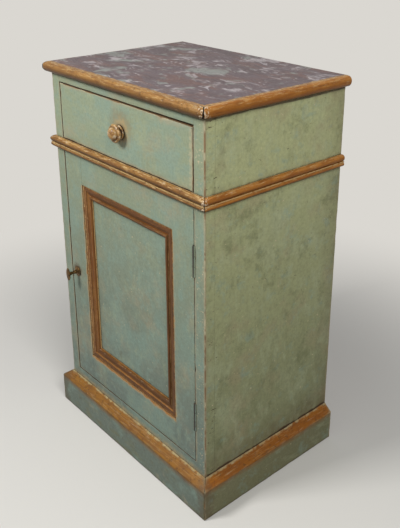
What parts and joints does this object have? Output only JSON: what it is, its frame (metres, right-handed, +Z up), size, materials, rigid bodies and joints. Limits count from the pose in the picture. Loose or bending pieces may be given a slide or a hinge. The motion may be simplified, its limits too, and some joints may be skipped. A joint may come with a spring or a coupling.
{
  "type": "bedside pot cupboard",
  "caption": "Tall narrow bedside cupboard with a drawer over a hinged panelled door, half-round top edge, beaded waist moulding and bevelled plinth.",
  "frame": {"origin": "on the ground, in the middle of the overall bounding box", "axes": "+Z up, -Y out of the front, +X towards the right-hand side as seen from the front"},
  "size_m": [0.491, 0.36, 0.78],
  "materials": {
    "front_paint": "softwood with worn sage green paint, satin",
    "side_paint": "softwood with worn olive green paint, satin",
    "gold_paint": "softwood mouldings with worn ochre-gold paint, satin",
    "marble_paint": "softwood board painted as purple-brown marble, satin",
    "bare_wood": "aged unpainted softwood, matt",
    "brass": "dark aged brass",
    "iron": "dark iron, slightly rusted"
  },
  "bodies": {
    "root": {"top_board": "marble_paint", "top_moulding_front": "gold_paint", "top_moulding_left": "gold_paint", "top_moulding_right": "gold_paint", "side_left": "side_paint", "side_right": "side_paint", "front_stile_left": "front_paint", "front_stile_right": "front_paint", "top_rail": "front_paint", "middle_rail": "front_paint", "bottom_rail": "front_paint", "floor_board": "bare_wood", "dust_board": "bare_wood", "back_plank_left": "bare_wood", "back_plank_middle": "bare_wood", "back_plank_right": "bare_wood", "back_nails": "iron", "mid_moulding_front": "gold_paint", "mid_moulding_left": "gold_paint", "mid_moulding_right": "gold_paint", "plinth_front": "front_paint", "plinth_left": "side_paint", "plinth_right": "side_paint", "glue_blocks": "bare_wood", "drawer_runner_left": "bare_wood", "drawer_runner_right": "bare_wood", "drawer_guide_left": "bare_wood", "drawer_guide_right": "bare_wood", "drawer_kicker_left": "bare_wood", "drawer_kicker_right": "bare_wood", "drawer_stops": "bare_wood", "door_stop_strip": "bare_wood", "hinge_leaf_frame": "iron", "hinge_pins": "iron", "hinge_screws_frame": "iron"},
    "drawer": {"drawer_front": "front_paint", "drawer_side_left": "bare_wood", "drawer_side_right": "bare_wood", "drawer_back": "bare_wood", "drawer_bottom": "bare_wood", "drawer_knob": "gold_paint"},
    "door": {"door_stile_latch": "front_paint", "door_stile_hinge": "front_paint", "door_rail_top": "front_paint", "door_rail_bottom": "front_paint", "door_panel": "front_paint", "panel_trim_left": "gold_paint", "panel_trim_right": "gold_paint", "panel_trim_top": "gold_paint", "panel_trim_bottom": "gold_paint", "hinge_leaf_door": "iron", "hinge_screws_door": "iron", "latch_rose": "brass"},
    "latch": {"latch_handle": "brass", "latch_tongue": "brass", "latch_nut": "brass"}
  },
  "joints": [
    {"name": "drawer_slide", "type": "slide", "parent": "root", "child": "drawer", "axis": [0, -1, 0], "range_m": [0, 0.23]},
    {"name": "door_hinge", "type": "hinge", "parent": "root", "child": "door", "pos_m": [0.2, -0.1553, 0.353], "axis": [0, 0, 1], "range_deg": [0, 170]},
    {"name": "latch_turn", "type": "hinge", "parent": "door", "child": "latch", "pos_m": [-0.1795, -0.155, 0.345], "axis": [0, 1, 0], "range_deg": [0, 90]}
  ]
}
